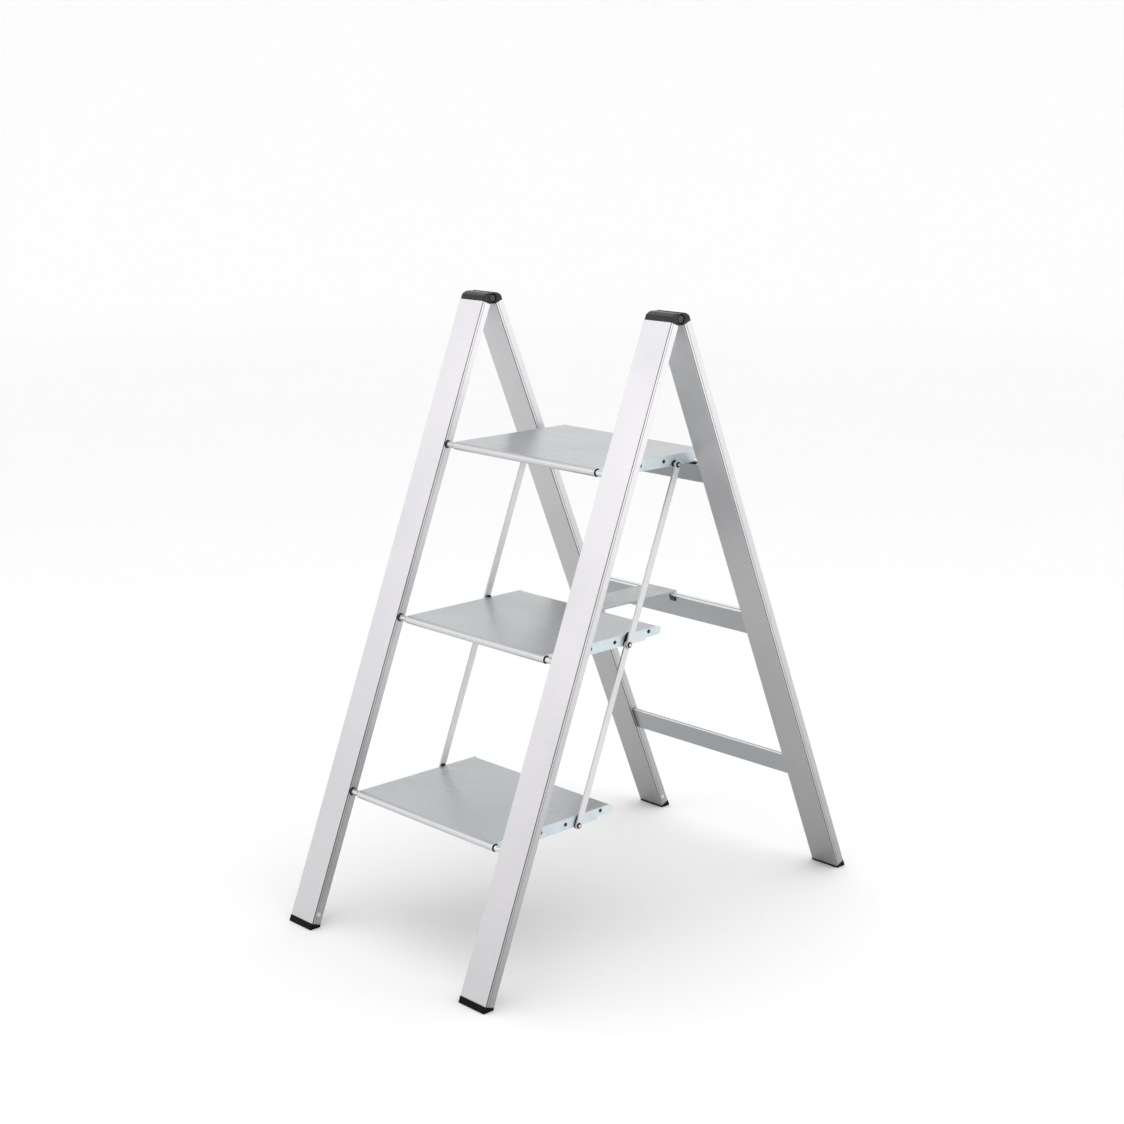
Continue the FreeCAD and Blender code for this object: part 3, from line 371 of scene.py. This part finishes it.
def extruded_aluminium(name, face_lighting_tone, edge_lighting_tone, turn, along, edge_axis,
                       floor_shade_tones=(1.0, 1.0), roughness=0.4, metallic=0.75,
                       section=None, underside_shade_share=1.0):
    """Satin anodised extrusion: die lines run along it, with faint cloudy patches.

    The broad faces take the face tone and the ones that look along edge_axis take the edge
    tone, lit and shaded copies of one colour: painted light and shade. Both darken towards
    the floor to the given share of themselves, a painted shade. A rail's section puts
    painted shade into its grooves, crevices take painted shade too, and a face that looks
    down keeps only the given share of its tone, a painted shade.
    """
    graph = Graph(name)
    stretch = [1.0, 1.0, 1.0]
    stretch[AXES.index(along)] = DIE_STRETCH
    lines = graph.noise(graph.place(turn, stretch), DIE_LINES, DIE_LINE_DETAIL,
                        DIE_LINE_CONTRAST)
    bands = graph.noise(graph.place(turn, stretch), DIE_BANDS)
    clouds = graph.noise(graph.place(), ALUMINIUM_CLOUDS, CLOUD_DETAIL)
    rounded, wear = graph.soft_edge(ALUMINIUM_EDGE)
    height = graph.parts(graph.place())[2]
    # Painted shade: each tone darkens towards the floor.
    floor_shade = graph.spread(height, 1.0, 0.0, FLOOR_SHADE_SPAN)
    tones = []
    for colour, floor_shade_tone in zip((face_lighting_tone, edge_lighting_tone), floor_shade_tones):
        clean = linear(colour)
        tones.append(graph.mix(floor_shade, clean, shade(clean, floor_shade_tone)))
    # Painted light and shade: the faces along edge_axis take their own lighter or darker
    # tone.
    tone = graph.mix(graph.facing(turn, edge_axis), *tones)
    dull = graph.compute("ADD", graph.spread(clouds, 0.0, CLOUD_DULLING),
                         graph.spread(bands, 0.0, BAND_DULLING))
    tone = graph.mix(dull, tone, DULL_TINT, "MULTIPLY")
    worn = graph.compute("MULTIPLY", wear, ALUMINIUM_WEAR)
    tone = graph.mix(worn, tone, linear(WORN_ALUMINIUM))
    # Painted shade in crevices.
    tone = graph.mix(graph.crevice_shade(ALUMINIUM_CREVICE), tone, linear(ALUMINIUM_CREVICE_SHADE))
    # Painted shade in the grooves of a rail.
    if section is not None:
        tone = graph.mix(graph.groove_shade_mask(turn, section), tone, linear(GROOVE_SHADE))
    # Painted shade: a face that looks down keeps only a share of its tone.
    if underside_shade_share < 1.0:
        tone = graph.mix(graph.underside_shade_mask(), tone, shade(WHITE, underside_shade_share), "MULTIPLY")
    rough = graph.vary(roughness, lines, -DIE_LINE_ROUGHNESS, DIE_LINE_ROUGHNESS)
    rough = graph.vary(rough, clouds, -CLOUD_ROUGHNESS, CLOUD_ROUGHNESS)
    normal = graph.bump(lines, DIE_LINE_HEIGHT, DIE_LINE_BUMP, rounded)
    return graph.finish(tone, rough, metallic, normal)


def zinc_sheet(name, colour, roughness=0.36, metallic=0.7, cloudy=0.3):
    """Zinc-plated sheet: faint crystalline patches, paler clouds, worn edges and painted
    shade in crevices.
    """
    graph = Graph(name)
    patches = graph.cells(graph.place(), ZINC_PATCHES)
    clouds = graph.noise(graph.place(), ZINC_CLOUDS, ZINC_CLOUD_DETAIL)
    grit = graph.noise(graph.place(), ZINC_GRIT)
    rounded, wear = graph.soft_edge(ZINC_EDGE)
    base = linear(colour)
    patchy = graph.spread(patches[0], 0.0, ZINC_PATCH_MIX, WHOLE_SPAN)
    tone = graph.mix(patchy, base, shade(base, ZINC_PATCH_TONE))
    tone = graph.mix(graph.spread(clouds, 0.0, cloudy), tone, linear(ZINC_CLOUD_TONE))
    tone = graph.mix(wear, tone, linear(WORN_ZINC))
    # Painted shade in crevices.
    tone = graph.mix(graph.crevice_shade(ZINC_CREVICE), tone, linear(ZINC_CREVICE_SHADE))
    rough = graph.vary(roughness, patches[1], -ZINC_PATCH_ROUGHNESS, ZINC_PATCH_ROUGHNESS,
                       WHOLE_SPAN)
    normal = graph.bump(grit, ZINC_GRIT_HEIGHT, ZINC_GRIT_BUMP, rounded)
    return graph.finish(tone, rough, metallic, normal)


def turned_steel(name, colour, roughness, metallic=1.0, highlight_centre=None):
    """Turned steel: fine rings round the X axis.

    With a point of its axis as centre, a pin's head has a painted highlight in the middle
    and a dark rim.
    """
    graph = Graph(name)
    rings = graph.noise(graph.place(scale=RING_STRETCH), RINGS)
    smudge = graph.noise(graph.place(), SMUDGES, SMUDGE_DETAIL)
    rounded, wear = graph.soft_edge(STEEL_EDGE)
    base = linear(colour)
    # Painted highlight: a pin's head is bright in the middle and turns dark towards its rim.
    if highlight_centre is not None:
        offset = graph.compute_vector("SUBTRACT", graph.place(), highlight_centre)
        outward = graph.compute_vector("MULTIPLY", offset, (0.0, 1.0, 1.0))
        radius = graph.compute_vector("LENGTH", outward, result="Value")
        rim = graph.spread(radius, 0.0, 1.0, PIN_RIM_SPAN)
        base = graph.mix(rim, base, linear(PIN_RIM_TONE))
    smudged = graph.spread(smudge, 0.0, 1.0)
    tone = graph.mix(smudged, base, shade(WHITE, SMUDGE_TONE), "MULTIPLY")
    tone = graph.mix(graph.compute("MULTIPLY", wear, STEEL_WEAR), tone, linear(WORN_STEEL))
    rough = graph.vary(roughness, rings, -RING_ROUGHNESS, RING_ROUGHNESS)
    normal = graph.bump(rings, RING_HEIGHT, RING_BUMP, rounded)
    return graph.finish(tone, rough, metallic, normal)


def moulded(name, colour, worn_colour, roughness, texture, depth, dust=0.0, shine=0.3):
    """Moulded plastic or rubber: spark texture, rubbed edges, a little dust and painted
    shade in crevices.
    """
    graph = Graph(name)
    pebbles = graph.noise(graph.place(), texture, PEBBLE_DETAIL, PEBBLE_CONTRAST)
    blotches = graph.noise(graph.place(), BLOTCHES, BLOTCH_DETAIL)
    rounded, wear = graph.soft_edge(MOULDED_EDGE)
    scuff = graph.compute("MULTIPLY", wear, graph.spread(blotches, *SCUFFS))
    tone = graph.mix(scuff, linear(colour), linear(worn_colour))
    tone = graph.mix(graph.spread(blotches, 0.0, dust), tone, linear(DUST_TONE))
    # Painted shade in crevices: a darker colour and less gloss there.
    crevice_shade_mask = graph.crevice_shade(MOULDED_CREVICE)
    tone = graph.mix(crevice_shade_mask, tone, linear(MOULDED_CREVICE_SHADE))
    gloss = graph.compute("MULTIPLY", graph.compute("SUBTRACT", 1.0, crevice_shade_mask), shine)
    rough = graph.vary(roughness, pebbles, -PEBBLE_ROUGHNESS, PEBBLE_ROUGHNESS)
    rough = graph.vary(rough, blotches, *BLOTCH_ROUGHNESS)
    normal = graph.bump(pebbles, depth, PEBBLE_BUMP, rounded)
    return graph.finish(tone, rough, 0.0, normal, Specular_IOR_Level=gloss)


def rail_section(name, turn):
    """A rail's inner and outer X planes, and the middle and half of its thickness."""
    upright = Matrix.Rotation(math.radians(turn[0]), 3, "X")
    points = [upright @ vertex.co for vertex in NODES[name].data.vertices]
    across = [abs(point.x) for point in points]
    through = [point.y for point in points]
    middle = (max(through) + min(through)) / 2
    return min(across), max(across), middle, (max(through) - min(through)) / 2


def make_materials():
    """One material for each kind of surface, by name."""
    made = {
        # In each aluminium the faces along edge_axis take a second tone: lighter as painted
        # light, and darker on the link bars as painted shade.
        "front_rail": extruded_aluminium(
            "front_rail_aluminium", "E5E3E6", "F0EEF0", FRONT_TURN, along="Z", edge_axis="X",
            floor_shade_tones=(0.8, 0.42), section=rail_section("front_rail_right", FRONT_TURN)),
        # The rear rails are a darker copy of the front rails' aluminium: painted shade.
        "rear_rail": extruded_aluminium(
            "rear_rail_aluminium", "CDCCCD", "E8E6E7", REAR_TURN, along="Z", edge_axis="X",
            floor_shade_tones=(0.58, 0.5), section=rail_section("rear_rail_right", REAR_TURN)),
        # The crossbar's broad faces are a darker copy of the same aluminium: painted shade.
        "crossbar": extruded_aluminium(
            "crossbar_aluminium", "A9ACAF", "E8E8E8", REAR_TURN, along="X", edge_axis="Z"),
        "deck": extruded_aluminium(
            "deck_aluminium", "BABDBF", "D8D7D9", LEVEL, along="X", edge_axis="Y",
            roughness=0.28, metallic=0.82, underside_shade_share=0.72),
        "link": extruded_aluminium(
            "link_bar_aluminium", "DEDCDD", "C8C6C8", FRONT_TURN, along="Z", edge_axis="Y"),
        "zinc": zinc_sheet("side_plate_zinc", "C9D7DC"),
        "spreader": zinc_sheet(
            "spreader_zinc", "B2B5B7", roughness=0.42, metallic=0.75, cloudy=0.12),
        "bright": turned_steel("bright_steel", "DEDEDD", roughness=0.24),
        "dull": turned_steel("dull_steel", "DAD8D6", roughness=0.34, metallic=0.9),
        "dark": turned_steel("dark_steel", "302E2C", roughness=0.42, metallic=0.8),
        "hinge": turned_steel("hinge_pin_steel", "4C4848", roughness=0.4, metallic=0.6),
        "bracket": turned_steel("bracket_steel", "4A3D38", roughness=0.45, metallic=0.6),
        "cap": moulded("cap_plastic", "191315", "3C3537", roughness=0.3,
                       texture=2600.0, depth=0.00002, shine=0.4),
        "foot": moulded("foot_rubber", "020202", "0E0D0D", roughness=0.45,
                        texture=1500.0, depth=0.00004, dust=0.01, shine=0.1),
        "grey": moulded("grey_plastic", "4E4B4B", "6A6868", roughness=0.4,
                        texture=2600.0, depth=0.00002),
        "black": moulded("black_plastic", "070707", "1C1C1C", roughness=0.3,
                         texture=3000.0, depth=0.00002),
    }
    # Each set of pins gets a painted highlight in the middle of its heads.
    for place in ("top", "middle", "bottom"):
        pins = f"{place}_link_pins"
        low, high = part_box(pins)
        made[pins] = turned_steel(
            f"{pins}_steel", "E6E6E4", roughness=0.22, highlight_centre=(low + high) / 2)
    return made


# A kind of surface and a word in the names that have it. The last row takes the rest.
SURFACES = (
    ("front_rail", "front_rail_"),
    ("rear_rail", "rear_rail_"),
    ("crossbar", "_crossbar"),
    ("deck", "_deck"),
    ("link", "per_link_"),
    ("link", "lower_link_"),
    ("zinc", "side_plate"),
    ("zinc", "spreader_front_bracket"),
    ("spreader", "spreader_plate"),
    ("bracket", "spreader_rear_brackets"),
    ("top_link_pins", "top_link_pins"),
    ("middle_link_pins", "middle_link_pins"),
    ("bottom_link_pins", "bottom_link_pins"),
    ("dark", "plate_rivets"),
    ("hinge", "hinge_pin"),
    ("cap", "hinge_cap"),
    ("dull", "foot_rivets"),
    ("foot", "_foot_"),
    ("foot", "tread_rest_pads"),
    ("black", "nose_bushes"),
    ("grey", "rod_washers"),
    ("black", "slip_pads"),
    ("black", "crossbar_inserts"),
    ("bright", ""),
)


def dress_nodes(materials):
    """Give every solid the first material whose word its name holds."""
    for name, solid in NODES.items():
        kind = next(kind for kind, word in SURFACES if word in name)
        for place in solid.material_slots:
            place.material = materials[kind]


# ---------------------------------------------------------------- studio

def floor_paint():
    """Matt white with a faint mottle, a little whiter far away."""
    graph = Graph("floor_paint")
    mottle = graph.noise(graph.place(), MOTTLE)
    away = graph.compute_vector("LENGTH", graph.place(), result="Value")
    whiter = graph.spread(away, 0.0, 1.0, FLOOR_TONE_SPAN)
    tone = graph.mix(whiter, *(linear(colour) for colour in FLOOR_TONES))
    mottled = graph.spread(mottle, 0.0, MOTTLE_MIX)
    tone = graph.mix(mottled, tone, shade(WHITE, MOTTLE_TONE), "MULTIPLY")
    normal = graph.bump(mottle, MOTTLE_HEIGHT, MOTTLE_BUMP)
    return graph.finish(tone, FLOOR_ROUGHNESS, 0.0, normal)


def make_floor():
    """A plain pale sweep: a flat floor that curves up into a wall all round."""
    outline = [(0.0, 0.0), (FLOOR_RADIUS, 0.0)]
    for step in range(1, BEND_STEPS + 1):
        angle = math.radians(90 * step / BEND_STEPS)
        outline.append((FLOOR_RADIUS + BEND_RADIUS * math.sin(angle),
                        BEND_RADIUS * (1 - math.cos(angle))))
    outline.append((FLOOR_RADIUS + BEND_RADIUS, WALL_TOP))
    points = []
    faces = []
    for radius, height in outline:
        for spoke in range(FLOOR_SPOKES):
            turn = 2 * math.pi * spoke / FLOOR_SPOKES
            points.append((radius * math.cos(turn), radius * math.sin(turn), height))
    for ring in range(len(outline) - 1):
        for spoke in range(FLOOR_SPOKES):
            after = (spoke + 1) % FLOOR_SPOKES
            low, high = ring * FLOOR_SPOKES, (ring + 1) * FLOOR_SPOKES
            faces.append((low + spoke, low + after, high + after, high + spoke))
    mesh = bpy.data.meshes.new("studio_floor")
    mesh.from_pydata(points, [], faces)
    mesh.update()
    for face in mesh.polygons:
        face.use_smooth = True
    mesh.materials.append(floor_paint())
    floor = bpy.data.objects.new("studio_floor", mesh)
    bpy.context.scene.collection.objects.link(floor)


def add_softbox(name, place, size, power):
    """A rectangular area light that looks at the middle of the ladder."""
    lamp = bpy.data.lights.new(name, "AREA")
    lamp.shape = "RECTANGLE"
    lamp.size, lamp.size_y = size
    lamp.energy = power
    holder = bpy.data.objects.new(name, lamp)
    holder.location = place
    holder.rotation_euler = (CAD_MIDDLE - Vector(place)).to_track_quat("-Z", "Y").to_euler()
    bpy.context.scene.collection.objects.link(holder)


def light_studio():
    """The softboxes and an even white world."""
    for softbox in SOFTBOXES:
        add_softbox(*softbox)
    world = bpy.data.worlds.new("studio_world")
    world.use_nodes = True
    background = world.node_tree.nodes["Background"]
    background.inputs["Color"].default_value = WHITE
    background.inputs["Strength"].default_value = WORLD_STRENGTH
    bpy.context.scene.world = world
    bpy.context.scene.view_settings.view_transform = "Standard"


def add_camera():
    """The photograph's camera, as it was fitted to the ladder's outline."""
    azimuth = math.radians(VIEW_AZIMUTH)
    elevation = math.radians(VIEW_ELEVATION)
    back = Vector((math.sin(azimuth) * math.cos(elevation),
                   -math.cos(azimuth) * math.cos(elevation), math.sin(elevation)))
    lens = bpy.data.cameras.new("camera")
    lens.lens = LENS
    lens.sensor_width = SENSOR
    holder = bpy.data.objects.new("camera", lens)
    holder.location = CAD_MIDDLE + AIM_OFFSET + VIEW_DISTANCE * back
    holder.rotation_euler = (math.pi / 2 - elevation, 0.0, azimuth)
    bpy.context.scene.collection.objects.link(holder)
    bpy.context.scene.camera = holder


dress_nodes(make_materials())
make_floor()
light_studio()
add_camera()
